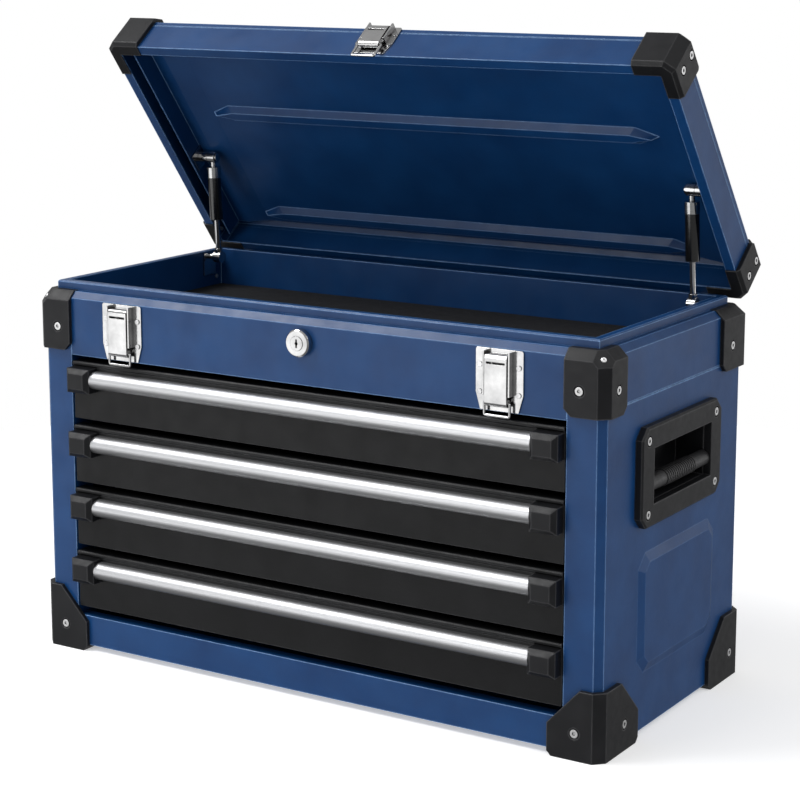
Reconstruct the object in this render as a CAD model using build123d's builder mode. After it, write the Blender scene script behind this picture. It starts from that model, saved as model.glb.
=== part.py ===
from build123d import *
from math import cos, hypot, radians, sin, sqrt
import os

os.makedirs("parts", exist_ok=True)

# Portable tool box: a sheet-metal cabinet with four drawers under a lidded compartment.
# Millimetres. +X to the right, +Y to the back, +Z up, lid open as it stands at rest.

# Cabinet
FRONT_WIDTH = 540.0
CORNER = 6.0
DEPTH = 256.0
SHEET = 1.2
GUARD_DROP = 5.0
POST_WIDTH = 26.0
POST_RETURN = 24.0
RAIL_HEIGHT = 27.0
RAIL_RETURN = 12.0
BAY_HEIGHT = 236.0
TOP_PANEL_HEIGHT = 50.0
SHOULDER = 5.5
NECK_INSET = 10.0
NECK_WIDTH = 7.0
NECK_RISE = 7.5
TRAY_DEPTH = 44.0
FOAM_THICKNESS = 10.0
FOAM_GAP = 0.3

# Lid
LID_OPEN = 52.0
LID_HEIGHT = 39.0
LIP_GAP = 2.5
LIP_WIDTH = 9.0
LID_BEVEL = 5.0
LID_SEAM_DROP = 10.0
SEAM = 0.6
PANEL_DROP = 5.0
PANEL_SIDE_STEP = 4.0
PANEL_SIDE = 36.0
PANEL_LEVEL = 14.0
PANEL_FLANGE_INSET = 13.0
PANEL_FLANGE_DEPTH = 24.0
RIB_WIDTH = 18.0
RIB_RISE = 5.0
RIB_SLOPE = 5.0
RIB_TAPER = 20.0
MIDDLE_RIB_BACK = 151.0
REAR_RIB_BACK = 22.0

# Hinge
KNUCKLE = 3.0
HINGE_PIN = 1.6
RUNNING_FIT = 0.05
HINGE_INSET = 35.0
HINGE_LEAF = 20.0
KNUCKLES = 9
KNUCKLE_GAP = 0.4
HINGE_GAP = 0.3

# Corner guards
GUARD = 4.0
GUARD_CAP = 0.6
GUARD_FOOT = 1.2
GUARD_BEVEL = 8.0
GUARD_CLIP = 6.0
GUARD_FACET = 12.0
FACET_WALL = 2.6
FOOT_CLIP = 4.0
TOP_GUARD_FRONT = 33.0
TOP_GUARD_SIDE = 30.0
TOP_GUARD_REAR_SIDE = 46.0
TOP_GUARD_HEIGHT = 46.0
BOTTOM_GUARD_REACH = 44.0
BOTTOM_GUARD_SIDE = 60.0
BOTTOM_GUARD_TOP = 16.0
BOTTOM_GUARD_RISE = 52.0
BOTTOM_GUARD_SHOULDER = 22.0
LID_GUARD_REACH = 32.0
LID_FOOT_BEVEL = 3.0

# Screws of guards and handles
SCREW_HEAD = 3.4
SCREW_HEAD_DEPTH = 1.8
SCREW_SHANK = 1.9
SCREW_CLEARANCE = 0.1
SCREW_WELL = 4.6
SCREW_SOCKET = 1.6
SCREW_GRIP = 3.0
TOP_SCREW_DROP = 31.0
BOTTOM_SCREW_RISE = 17.0
FRONT_SCREW_INSET = 20.0
SIDE_SCREW_INSETS = (16.0, 36.0)
REAR_SCREW_INSETS = (28.0, 18.0)
LID_SCREW_INSET = 14.0
LID_SCREW_RISES = (12.0, 30.0)

# Side handles
HANDLE_WIDTH = 148.0
HANDLE_HEIGHT = 81.0
HANDLE_Z = 209.0
HANDLE_PROUD = 7.0
HANDLE_CLIP = 9.0
HANDLE_EDGE = 1.6
HANDLE_OPENING_WIDTH = 108.0
HANDLE_OPENING_HEIGHT = 45.0
HANDLE_CUP_DEPTH = 27.0
HANDLE_CUP_WALL = 1.6
HANDLE_SCREW_INSET = 11.0
GRIP_RADIUS = 6.5
GRIP_RIB = 0.8
GRIP_RIBS = 16
GRIP_LOW = 14.0

# Raised field in each side panel
FIELD_LOW = 47.0
FIELD_HEIGHT = 99.0
FIELD_WIDTH = 142.0
FIELD_BEVEL = 8.0
FIELD_RISE = 3.0
FIELD_CLIP = 12.0
FIELD_BACK_SHIFT = 6.0
SIDE_SEAM_RISE = 9.0

# Drawers
DRAWERS = 4
DRAWER_PITCH = 57.2
DRAWER_FRONT_HEIGHT = 51.0
DRAWER_FLOOR_GAP = 8.0
DRAWER_SIDE_GAP = 1.5
DRAWER_RECESS = 1.0
DRAWER_TRAY_HEIGHT = 40.0
DRAWER_TRAY_LIFT = 3.0
DRAWER_BACK_GAP = 12.0
DRAWER_RETURN = 10.0
DRAWER_SIDE_RETURN = 5.0
LIP_PROUD = 1.8
LIP_TALL = 3.5

# Drawer slides
SLIDE_WIDTH = 12.5
SLIDE_HEIGHT = 20.0
SLIDE_START = 8.0
SLIDE_FLANGE = 9.0
SLIDE_GAP = 0.3
SLIDE_BACK_GAP = 6.0

# Drawer pulls
BAR_TALL = 15.0
BAR_PROUD = 11.0
BAR_DROP = 7.0
CAP_PROUD = 14.5
CAP_TALL = 21.5
CAP_LENGTH = 25.0
CAP_DROP = 4.5
CAP_CHAMFER = 4.0

# Latches
LATCH_INSET = 84.0
LATCH_HALF = 21.0
LATCH_FOOT_HALF = 17.0
LATCH_TAPER = 14.0
LATCH_MARGIN = 0.5
CHEEK_INNER = 10.6
CHEEK_SHEET = 1.4
CHEEK_PROUD = 7.0
LEVER_HALF = 9.8
LEVER_SHEET = 1.4
LEVER_PROUD = 7.9
LEVER_PIN = 1.8
LEVER_KNUCKLE = 3.0
LEVER_PIN_DROP = 6.5
LEVER_PIN_PROUD = 4.7
LEVER_SLOT = 1.8
LEVER_ARM = 1.6
CURL = 3.2
BAIL_WIRE = 1.1
BAIL_LEG = 10.5
BAIL_CLEARANCE = 0.1
BAIL_GAP = 0.3
CURL_LIFT = 7.5
CHEEK_LIFT = 13.0
RIVET_HEAD = 2.1
RIVET_DOME = 0.9
RIVET_SHANK = 1.2
LATCH_RIVET_X = 17.2
LATCH_RIVET_DROPS = (13.5, 35.0)
INNER_RIVET_RISES = (18.0, 34.0)
INNER_RIVET_INSET = 8.0

# Lid catch
CATCH_HALF = 18.0
CATCH_FOOT_HALF = 15.0
CATCH_LOW = 2.0
CATCH_TOP = 35.0
CATCH_RIVET_X = 15.2
CATCH_RIVET_DROPS = (9.0, 22.0)
CATCH_BAIL_LEG = 14.5

# Lock
LOCK_Z = 298.5
LOCK_RING = 11.5
LOCK_PROUD = 6.5
LOCK_BODY = 9.0
LOCK_LENGTH = 12.0
LOCK_NUT = 12.5
LOCK_NUT_DEPTH = 3.0
PLUG = 6.0
PLUG_PROUD = 0.5
KEYWAY = 1.4
KEYWAY_TALL = 7.0
CAM_SHEET = 2.0
CAM_LENGTH = 20.0
CAM_HALF = 4.0

# Gas struts
STRUT_INSET = 29.5
LID_PIVOT_REACH = 105.0
LID_PIVOT_RISE = 22.0
BODY_PIVOT_REACH = 40.0
BODY_PIVOT_RISE = 0.0
TUBE_RADIUS = 6.2
COLLAR_RADIUS = 6.5
COLLAR_LENGTH = 10.0
STRUT_ROD = 2.6
TOP_FITTING = 9.5
FOOT_FITTING = 8.5
STUD = 2.6
EYE = 5.2
EYE_HALF = 4.0
BALL = 5.6
STUD_GAP = 0.3
BRACKET_SHEET = 1.6
BRACKET_HALF = 9.0
TUBE_BORE_GAP = 0.3

# Sizes that follow
OUTER_WIDTH = FRONT_WIDTH + 2 * CORNER
HALF = OUTER_WIDTH / 2
POST_INNER = FRONT_WIDTH / 2 - POST_WIDTH
BASE = GUARD_DROP
RAIL_TOP = BASE + RAIL_HEIGHT
BAY_TOP = RAIL_TOP + BAY_HEIGHT
SHOULDER_Z = BAY_TOP + TOP_PANEL_HEIGHT
LEDGE_Z = SHOULDER_Z + SHOULDER
NECK_TOP = LEDGE_Z + NECK_RISE
TRAY_TOP = NECK_TOP - TRAY_DEPTH
NECK_INNER = NECK_INSET + NECK_WIDTH
HINGE_LENGTH = FRONT_WIDTH - 2 * HINGE_INSET
LATCH_X = FRONT_WIDTH / 2 - LATCH_INSET
STRUT_X = HALF - STRUT_INSET
HINGE_Z = LEDGE_Z + LIP_GAP
HINGE_Y = DEPTH + HINGE_GAP + KNUCKLE
LID_FRONT = -HINGE_Y
LID_REAR = LID_FRONT + DEPTH
GUARD_TOP = LEDGE_Z + GUARD_CAP
LID_GUARD_TOP = LID_HEIGHT + GUARD
TILT = radians(LID_OPEN)
FOLD_SHRINK = 2 - sqrt(2)
FAR = 2 * OUTER_WIDTH

# The opened lid's upper back edge and the drawer pulls set how far the box reaches in Y.
BACK_REACH = HINGE_Y + (LID_REAR + GUARD - GUARD_BEVEL) * cos(TILT) + LID_GUARD_TOP * sin(TILT)
FRONT = -(BACK_REACH - CAP_PROUD + DRAWER_RECESS) / 2

BODY = Plane(origin=(0, FRONT, 0))
LID = Plane(origin=(0, FRONT + HINGE_Y, HINGE_Z), x_dir=(1, 0, 0), z_dir=(0, sin(TILT), cos(TILT)))


def from_front(plane):
    """The upright plane that faces forward: local X is width and local Y is height."""
    return Plane(origin=plane.origin, x_dir=plane.x_dir, z_dir=-plane.y_dir)


def from_side(plane):
    """The upright plane that faces right: local X is depth and local Y is height."""
    return Plane(origin=plane.origin, x_dir=plane.y_dir, z_dir=plane.x_dir)


def from_back(plane):
    """The upright plane that faces back: local X is width to the left and local Y is height."""
    return Plane(origin=plane.origin, x_dir=-plane.x_dir, z_dir=plane.y_dir)


def block(plane, x, y, z, mode=Mode.ADD):
    """Add or cut a block, given by its low and high limits along each axis of a plane."""
    with BuildSketch(plane.offset(z[0])) as footprint:
        with Locations(((x[0] + x[1]) / 2, (y[0] + y[1]) / 2)):
            Rectangle(x[1] - x[0], y[1] - y[0])
    extrude(footprint.sketch, amount=z[1] - z[0], mode=mode)


def prism(plane, points, start, end, mode=Mode.ADD):
    """Add or cut a straight prism with the given outline, between two distances from a plane."""
    with BuildSketch(plane.offset(start)) as outline:
        with BuildLine():
            Polyline(*points, close=True)
        make_face()
    extrude(outline.sketch, amount=end - start, mode=mode)


def discs(plane, centres, radius, start, end, mode=Mode.ADD):
    """Add or cut round bars of one radius, between two distances from a plane."""
    with BuildSketch(plane.offset(start)) as circles:
        with Locations(*centres):
            Circle(radius)
    extrude(circles.sketch, amount=end - start, mode=mode)


def outline_at(plane, front, inset, height):
    """The cabinet's plan, with its folded upright corners, moved in by inset."""
    with BuildSketch(plane.offset(height)) as plan:
        with Locations((0, front + DEPTH / 2)):
            sheet = Rectangle(OUTER_WIDTH - 2 * inset, DEPTH - 2 * inset)
        fold = CORNER - inset * FOLD_SHRINK
        if fold > SEAM:
            chamfer(sheet.vertices(), fold)
    return plan.sketch


def cabinet_block(plane, front, inset, low, high, bevel=0.0, mode=Mode.ADD):
    """Add or cut a block with the cabinet's plan and, if asked, sloping top edges."""
    extrude(outline_at(plane, front, inset, low), amount=high - bevel - low, mode=mode)
    if bevel:
        extrude(outline_at(plane, front, inset, high - bevel), amount=bevel, taper=45, mode=mode)


# Screw places: local X and height on each face, right-hand side; the left is its mirror.
GUARD_SCREW_Z = (LEDGE_Z - TOP_SCREW_DROP, BASE + BOTTOM_SCREW_RISE)
FRONT_SCREWS = [(HALF - FRONT_SCREW_INSET, z) for z in GUARD_SCREW_Z]
BACK_SCREWS = [(-x, z) for x, z in FRONT_SCREWS]
SIDE_SCREWS = list(zip(SIDE_SCREW_INSETS, GUARD_SCREW_Z))
SIDE_SCREWS += [(DEPTH - inset, z) for inset, z in zip(REAR_SCREW_INSETS, GUARD_SCREW_Z)]
LID_SCREW_Y = (LID_FRONT + LID_SCREW_INSET, LID_REAR - LID_SCREW_INSET)
LID_SCREWS = [(y, z) for y in LID_SCREW_Y for z in LID_SCREW_RISES]
INNER_RIVETS = [(DEPTH - NECK_INNER - INNER_RIVET_INSET, TRAY_TOP + rise) for rise in INNER_RIVET_RISES]
HANDLE_CENTRE = (DEPTH / 2, BASE + HANDLE_Z)
HANDLE_SCREW_X = HANDLE_WIDTH / 2 - HANDLE_SCREW_INSET
HANDLE_SCREW_Z = HANDLE_HEIGHT / 2 - HANDLE_SCREW_INSET
HANDLE_SCREWS = [
    (HANDLE_CENTRE[0] + x, HANDLE_CENTRE[1] + z)
    for x in (-HANDLE_SCREW_X, HANDLE_SCREW_X)
    for z in (-HANDLE_SCREW_Z, HANDLE_SCREW_Z)
]


def screw_holes(plane, sites, face, wells=False):
    """Cut the shank holes through a skin and, in a guard, the wells that the heads sit in."""
    hole = SCREW_SHANK + SCREW_CLEARANCE
    discs(plane, sites, hole, face - GUARD - HANDLE_PROUD, face + SEAM, Mode.SUBTRACT)
    if wells:
        discs(plane, sites, SCREW_WELL, face - SCREW_HEAD_DEPTH, face + SEAM, Mode.SUBTRACT)


def screws(plane, sites, seat):
    """Add button-head screws with a drive socket, seated at a distance from a plane."""
    top = seat + SCREW_HEAD_DEPTH
    discs(plane, sites, SCREW_HEAD, seat, top)
    discs(plane, sites, SCREW_SHANK, seat - SCREW_GRIP - GUARD, seat)
    with BuildSketch(plane.offset(top - SCREW_HEAD_DEPTH / 2)) as sockets:
        with Locations(*sites):
            RegularPolygon(SCREW_SOCKET, 6)
    extrude(sockets.sketch, amount=SCREW_HEAD_DEPTH, mode=Mode.SUBTRACT)


def cabinet_skin():
    """The folded skin of the whole cabinet, before it is divided into panels."""
    with BuildPart() as skin:
        cabinet_block(BODY, 0, 0, BASE, LEDGE_Z, SHOULDER)
        cabinet_block(BODY, 0, SHEET, BASE, LEDGE_Z - SHEET, SHOULDER, Mode.SUBTRACT)
        cabinet_block(BODY, 0, NECK_INSET + SHEET, SHOULDER_Z, LEDGE_Z, 0, Mode.SUBTRACT)
    return skin.part


def corner_facet(setback):
    """Cut off the right front top corner, equally from its three faces."""
    facet = Plane(origin=(HALF - setback, FRONT, LEDGE_Z), z_dir=(1, -1, 1))
    block(facet, (-HALF, HALF), (-HALF, HALF), (0, FAR), Mode.SUBTRACT)


def cabinet_core():
    """The cabinet as one closed block up to its ledge, which the guards are hollowed to fit."""
    with BuildPart() as core:
        cabinet_block(BODY, 0, 0, BASE, LEDGE_Z, SHOULDER)
        corner_facet(GUARD_FACET + FACET_WALL)
    return core.part


def raised_field(outward, mode):
    """Add or cut the shallow eight-sided field pressed out of the right side panel."""
    profiles = []
    for step, shrink in ((0.0, 0.0), (FIELD_RISE, FIELD_BEVEL)):
        with BuildSketch(from_side(BODY).offset(HALF + outward + step)) as field:
            with Locations((DEPTH / 2 + FIELD_BACK_SHIFT, BASE + FIELD_LOW + FIELD_HEIGHT / 2)):
                panel = Rectangle(FIELD_WIDTH - 2 * shrink, FIELD_HEIGHT - 2 * shrink)
            chamfer(panel.vertices(), FIELD_CLIP - shrink * FOLD_SHRINK)
        profiles.append(field.sketch)
    loft(profiles, mode=mode)


def make_side_panels():
    """Side panels: front post, folded corner, side wall and rear return in one sheet."""
    side = from_side(BODY)
    opening_x = HANDLE_OPENING_WIDTH / 2 + HANDLE_CUP_WALL
    opening_z = HANDLE_OPENING_HEIGHT / 2 + HANDLE_CUP_WALL
    with BuildPart() as right_side_panel:
        add(cabinet_skin())
        block(BODY, (POST_INNER, FAR), (-FAR, FAR), (0, FAR), Mode.INTERSECT)
        corner_facet(GUARD_FACET + FACET_WALL)
        block(BODY, (POST_INNER, POST_INNER + SHEET), (SHEET / 2, POST_RETURN), (BASE, BAY_TOP))
        rear_return = (DEPTH - POST_RETURN, DEPTH - SHEET / 2)
        block(BODY, (POST_INNER, POST_INNER + SHEET), rear_return, (BASE, BAY_TOP))
        raised_field(0.0, Mode.ADD)
        raised_field(-SHEET, Mode.SUBTRACT)
        block(
            side,
            (HANDLE_CENTRE[0] - opening_x, HANDLE_CENTRE[0] + opening_x),
            (HANDLE_CENTRE[1] - opening_z, HANDLE_CENTRE[1] + opening_z),
            (HALF - 2 * SHEET, HALF + SHEET),
            Mode.SUBTRACT,
        )
        seam_z = BAY_TOP + SIDE_SEAM_RISE
        groove = (seam_z, seam_z + 2 * SEAM)
        block(side, (POST_RETURN, DEPTH - POST_RETURN), groove, (HALF - SEAM, FAR), Mode.SUBTRACT)
        screw_holes(side, SIDE_SCREWS + HANDLE_SCREWS, HALF)
        screw_holes(from_front(BODY), FRONT_SCREWS, 0)
        screw_holes(from_back(BODY), BACK_SCREWS, DEPTH)
    right_side_panel.part.label = "right_side_panel"
    export_step(right_side_panel.part, "parts/right_side_panel.step")
    with BuildPart() as left_side_panel:
        mirror(right_side_panel.part, about=Plane.YZ)
    left_side_panel.part.label = "left_side_panel"
    export_step(left_side_panel.part, "parts/left_side_panel.step")


def make_back_panel():
    with BuildPart() as back_panel:
        add(cabinet_skin())
        block(BODY, (-POST_INNER, POST_INNER), (DEPTH / 2, FAR), (0, FAR), Mode.INTERSECT)
    back_panel.part.label = "back_panel"
    export_step(back_panel.part, "parts/back_panel.step")


def make_front_top_panel():
    """The panel over the drawers, with the holes for the lock and the latch rivets."""
    with BuildPart() as front_top_panel:
        add(cabinet_skin())
        block(BODY, (-POST_INNER, POST_INNER), (-FAR, DEPTH / 2), (BAY_TOP, FAR), Mode.INTERSECT)
        block(BODY, (-POST_INNER, POST_INNER), (SHEET / 2, RAIL_RETURN), (BAY_TOP, BAY_TOP + SHEET))
        hole = LOCK_BODY + SCREW_CLEARANCE
        discs(from_front(BODY), [(0, BASE + LOCK_Z)], hole, -2 * SHEET, SHEET, Mode.SUBTRACT)
        rivet_hole = RIVET_SHANK + SCREW_CLEARANCE
        discs(from_front(BODY), latch_rivet_sites(), rivet_hole, -2 * SHEET, SHEET, Mode.SUBTRACT)
    front_top_panel.part.label = "front_top_panel"
    export_step(front_top_panel.part, "parts/front_top_panel.step")


def make_bottom_pan():
    """The floor of the cabinet with the front rail folded up between the posts."""
    with BuildPart() as bottom_pan:
        cabinet_block(BODY, 0, SHEET, BASE, BASE + SHEET)
        for side in (-1, 1):
            for y in ((0, POST_RETURN), (DEPTH - POST_RETURN, DEPTH)):
                x = sorted((side * POST_INNER, side * (POST_INNER + SHEET)))
                block(BODY, x, y, (BASE, BASE + SHEET), Mode.SUBTRACT)
        block(BODY, (-POST_INNER, POST_INNER), (0, SHEET), (BASE, RAIL_TOP))
        block(BODY, (-POST_INNER, POST_INNER), (0, 2 * SHEET), (BASE, BASE + SHEET))
        block(BODY, (-POST_INNER, POST_INNER), (0, RAIL_RETURN), (RAIL_TOP - SHEET, RAIL_TOP))
    bottom_pan.part.label = "bottom_pan"
    export_step(bottom_pan.part, "parts/bottom_pan.step")


def make_rim_frame():
    """The hollow rim that the lid closes over, with the walls of the top compartment below it."""
    with BuildPart() as rim_frame:
        cabinet_block(BODY, 0, NECK_INSET, LEDGE_Z, NECK_TOP, SHEET)
        cabinet_block(BODY, 0, NECK_INSET + SHEET, LEDGE_Z, NECK_TOP - SHEET, 0, Mode.SUBTRACT)
        cabinet_block(BODY, 0, NECK_INNER - SHEET, TRAY_TOP, NECK_TOP - SHEET / 2)
        cabinet_block(BODY, 0, NECK_INNER, TRAY_TOP, NECK_TOP, 0, Mode.SUBTRACT)
        rivet_hole = RIVET_SHANK + SCREW_CLEARANCE
        discs(from_side(BODY), INNER_RIVETS, rivet_hole, -FAR, FAR, Mode.SUBTRACT)
    rim_frame.part.label = "rim_frame"
    export_step(rim_frame.part, "parts/rim_frame.step")


def make_tray_floor():
    with BuildPart() as tray_floor:
        cabinet_block(BODY, 0, SHEET, TRAY_TOP - SHEET, TRAY_TOP)
    tray_floor.part.label = "tray_floor"
    export_step(tray_floor.part, "parts/tray_floor.step")


def make_foam_mat():
    """The mat that lies on the floor of the top compartment."""
    with BuildPart() as foam_mat:
        cabinet_block(BODY, 0, NECK_INNER + FOAM_GAP, TRAY_TOP, TRAY_TOP + FOAM_THICKNESS)
    foam_mat.part.label = "foam_mat"
    export_step(foam_mat.part, "parts/foam_mat.step")


# Corner guards
def mirrored_in_depth(points, front):
    """An outline on a side view, reflected from the front corner to the back corner."""
    return [(2 * front + DEPTH - y, z) for y, z in points]


def guard_corner(plane, front_outline, side_outline):
    """The space that one right-hand guard may fill: its front outline crossed with its side outline."""
    with BuildPart() as corner:
        prism(from_front(plane), front_outline, -FAR, FAR)
        with BuildSketch(from_side(plane)) as crossing:
            with BuildLine():
                Polyline(*side_outline, close=True)
            make_face()
        extrude(crossing.sketch, amount=FAR, mode=Mode.INTERSECT)
    return corner.part


TOP_GUARD_LOW = GUARD_TOP - TOP_GUARD_HEIGHT - GUARD_CLIP
TOP_FRONT_OUTLINE = [
    (HALF - TOP_GUARD_FRONT + GUARD_CLIP, TOP_GUARD_LOW), (FAR, TOP_GUARD_LOW), (FAR, FAR),
    (HALF - TOP_GUARD_FRONT, FAR), (HALF - TOP_GUARD_FRONT, TOP_GUARD_LOW + GUARD_CLIP),
]


def top_side_outline(reach):
    return [
        (-FAR, TOP_GUARD_LOW), (reach - GUARD_CLIP, TOP_GUARD_LOW), (reach, TOP_GUARD_LOW + GUARD_CLIP),
        (reach, FAR), (-FAR, FAR),
    ]


BOTTOM_FRONT_OUTLINE = [
    (HALF - BOTTOM_GUARD_REACH, FOOT_CLIP), (HALF - BOTTOM_GUARD_REACH + FOOT_CLIP, 0),
    (HALF - BOTTOM_GUARD_REACH + FOOT_CLIP, -FAR), (FAR, -FAR), (FAR, BASE + BOTTOM_GUARD_RISE),
    (HALF - BOTTOM_GUARD_TOP, BASE + BOTTOM_GUARD_RISE),
    (HALF - BOTTOM_GUARD_REACH, BASE + BOTTOM_GUARD_SHOULDER),
]
BOTTOM_SIDE_OUTLINE = [
    (-FAR, -FAR), (BOTTOM_GUARD_SIDE - FOOT_CLIP, -FAR), (BOTTOM_GUARD_SIDE - FOOT_CLIP, 0),
    (BOTTOM_GUARD_SIDE, FOOT_CLIP), (BOTTOM_GUARD_SIDE, BASE + BOTTOM_GUARD_SHOULDER),
    (BOTTOM_GUARD_SIDE / 2, BASE + BOTTOM_GUARD_RISE), (-FAR, BASE + BOTTOM_GUARD_RISE),
]


def body_guard(low, high, bevel, front_outline, side_outline):
    """One right-hand guard of the cabinet, with the wells for its screws."""
    with BuildPart() as guard:
        cabinet_block(BODY, 0, -GUARD, low, high, bevel)
        corner_facet(GUARD_FACET)
        add(cabinet_core(), mode=Mode.SUBTRACT)
        cabinet_block(BODY, 0, NECK_INSET, LEDGE_Z, FAR, 0, Mode.SUBTRACT)
        add(guard_corner(BODY, front_outline, side_outline), mode=Mode.INTERSECT)
        screw_holes(from_side(BODY), SIDE_SCREWS, HALF + GUARD, True)
        screw_holes(from_front(BODY), FRONT_SCREWS, GUARD, True)
        screw_holes(from_back(BODY), BACK_SCREWS, DEPTH + GUARD, True)
    return guard.part


def make_top_guards():
    side = top_side_outline(TOP_GUARD_SIDE)
    rear_side = mirrored_in_depth(top_side_outline(TOP_GUARD_REAR_SIDE), 0)
    with BuildPart() as front_top_guards:
        add(body_guard(TOP_GUARD_LOW, GUARD_TOP, GUARD_BEVEL, TOP_FRONT_OUTLINE, side))
        mirror(about=Plane.YZ)
    front_top_guards.part.label = "front_top_guards"
    export_step(front_top_guards.part, "parts/front_top_guards.step")
    with BuildPart() as rear_top_guards:
        add(body_guard(TOP_GUARD_LOW, GUARD_TOP, GUARD_BEVEL, TOP_FRONT_OUTLINE, rear_side))
        mirror(about=Plane.YZ)
    rear_top_guards.part.label = "rear_top_guards"
    export_step(rear_top_guards.part, "parts/rear_top_guards.step")


def make_bottom_guards():
    """Guards of the bottom corners, which are also the feet."""
    rear_side = mirrored_in_depth(BOTTOM_SIDE_OUTLINE, 0)
    top = BASE + BOTTOM_GUARD_RISE
    with BuildPart() as front_bottom_guards:
        add(body_guard(0, top, 0, BOTTOM_FRONT_OUTLINE, BOTTOM_SIDE_OUTLINE))
        mirror(about=Plane.YZ)
    front_bottom_guards.part.label = "front_bottom_guards"
    export_step(front_bottom_guards.part, "parts/front_bottom_guards.step")
    with BuildPart() as rear_bottom_guards:
        add(body_guard(0, top, 0, BOTTOM_FRONT_OUTLINE, rear_side))
        mirror(about=Plane.YZ)
    rear_bottom_guards.part.label = "rear_bottom_guards"
    export_step(rear_bottom_guards.part, "parts/rear_bottom_guards.step")


def make_body_screws():
    """Every guard screw and handle screw of the cabinet."""
    with BuildPart() as body_screws:
        seat = GUARD - SCREW_HEAD_DEPTH
        screws(from_side(BODY), SIDE_SCREWS, HALF + seat)
        screws(from_side(BODY), HANDLE_SCREWS, HALF + HANDLE_PROUD - SCREW_HEAD_DEPTH)
        screws(from_front(BODY), FRONT_SCREWS, seat)
        screws(from_back(BODY), BACK_SCREWS, DEPTH + seat)
        mirror(about=Plane.YZ)
    body_screws.part.label = "body_screws"
    export_step(body_screws.part, "parts/body_screws.step")


# Side handles
def handle_span(centre, size):
    return (centre - size / 2, centre + size / 2)


def make_handle_frames():
    side = from_side(BODY)
    y, z = HANDLE_CENTRE
    with BuildPart() as handle_frames:
        with BuildSketch(side.offset(HALF)):
            with Locations((y, z)):
                plate = Rectangle(HANDLE_WIDTH, HANDLE_HEIGHT)
            chamfer(plate.vertices(), HANDLE_CLIP)
        extrude(amount=HANDLE_PROUD)
        chamfer(handle_frames.faces().sort_by(Axis.X)[-1].edges(), HANDLE_EDGE)
        opening = handle_span(y, HANDLE_OPENING_WIDTH), handle_span(z, HANDLE_OPENING_HEIGHT)
        block(side, *opening, (0, FAR), Mode.SUBTRACT)
        screw_holes(side, HANDLE_SCREWS, HALF + HANDLE_PROUD, True)
        mirror(about=Plane.YZ)
    handle_frames.part.label = "handle_frames"
    export_step(handle_frames.part, "parts/handle_frames.step")


def make_handle_cups():
    """The cup behind each handle frame, open to the outside."""
    side = from_side(BODY)
    y, z = HANDLE_CENTRE
    back = HALF - HANDLE_CUP_DEPTH
    wall = 2 * HANDLE_CUP_WALL
    with BuildPart() as handle_cups:
        outside = handle_span(y, HANDLE_OPENING_WIDTH + wall), handle_span(z, HANDLE_OPENING_HEIGHT + wall)
        inside = handle_span(y, HANDLE_OPENING_WIDTH), handle_span(z, HANDLE_OPENING_HEIGHT)
        block(side, *outside, (back, HALF))
        block(side, *inside, (back + HANDLE_CUP_WALL, FAR), Mode.SUBTRACT)
        mirror(about=Plane.YZ)
    handle_cups.part.label = "handle_cups"
    export_step(handle_cups.part, "parts/handle_cups.step")


def make_handle_grips():
    """The ribbed bar across each cup, in the lower part of the opening."""
    y, z = HANDLE_CENTRE
    bar_z = z - HANDLE_OPENING_HEIGHT / 2 + GRIP_LOW
    bar_x = HALF + HANDLE_PROUD - GRIP_RADIUS - 2 * GRIP_RIB
    half = HANDLE_OPENING_WIDTH / 2
    along = from_front(BODY).offset(-y)
    pitch = half / GRIP_RIBS
    with BuildPart() as handle_grips:
        discs(along, [(bar_x, bar_z)], GRIP_RADIUS, -half, half)
        for rib in range(GRIP_RIBS):
            start = (rib - GRIP_RIBS / 2) * pitch
            discs(along, [(bar_x, bar_z)], GRIP_RADIUS + GRIP_RIB, start, start + pitch / 2)
        mirror(about=Plane.YZ)
    handle_grips.part.label = "handle_grips"
    export_step(handle_grips.part, "parts/handle_grips.step")


# Drawers
def drawer_bottom(index):
    return RAIL_TOP + DRAWER_FLOOR_GAP + index * DRAWER_PITCH


def slide_centre(index):
    return drawer_bottom(index) + DRAWER_TRAY_LIFT + DRAWER_TRAY_HEIGHT / 2


def channel(outer_x, inner_x, centre_z, tall, y):
    """A folded C channel along Y: its web at outer_x, its flanges reaching to inner_x."""
    web = SHEET if inner_x > outer_x else -SHEET
    block(BODY, sorted((outer_x, outer_x + web)), y, (centre_z - tall / 2, centre_z + tall / 2))
    for low in (centre_z - tall / 2, centre_z + tall / 2 - SHEET):
        block(BODY, sorted((outer_x, inner_x)), y, (low, low + SHEET))


def make_cabinet_slides():
    """The fixed member of each drawer slide, on the post returns."""
    with BuildPart() as cabinet_slides:
        for index in range(DRAWERS):
            channel(POST_INNER, POST_INNER - SLIDE_FLANGE, slide_centre(index), SLIDE_HEIGHT,
                    (SLIDE_START, DEPTH - SLIDE_BACK_GAP))
        mirror(about=Plane.YZ)
    cabinet_slides.part.label = "cabinet_slides"
    export_step(cabinet_slides.part, "parts/cabinet_slides.step")


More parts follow.
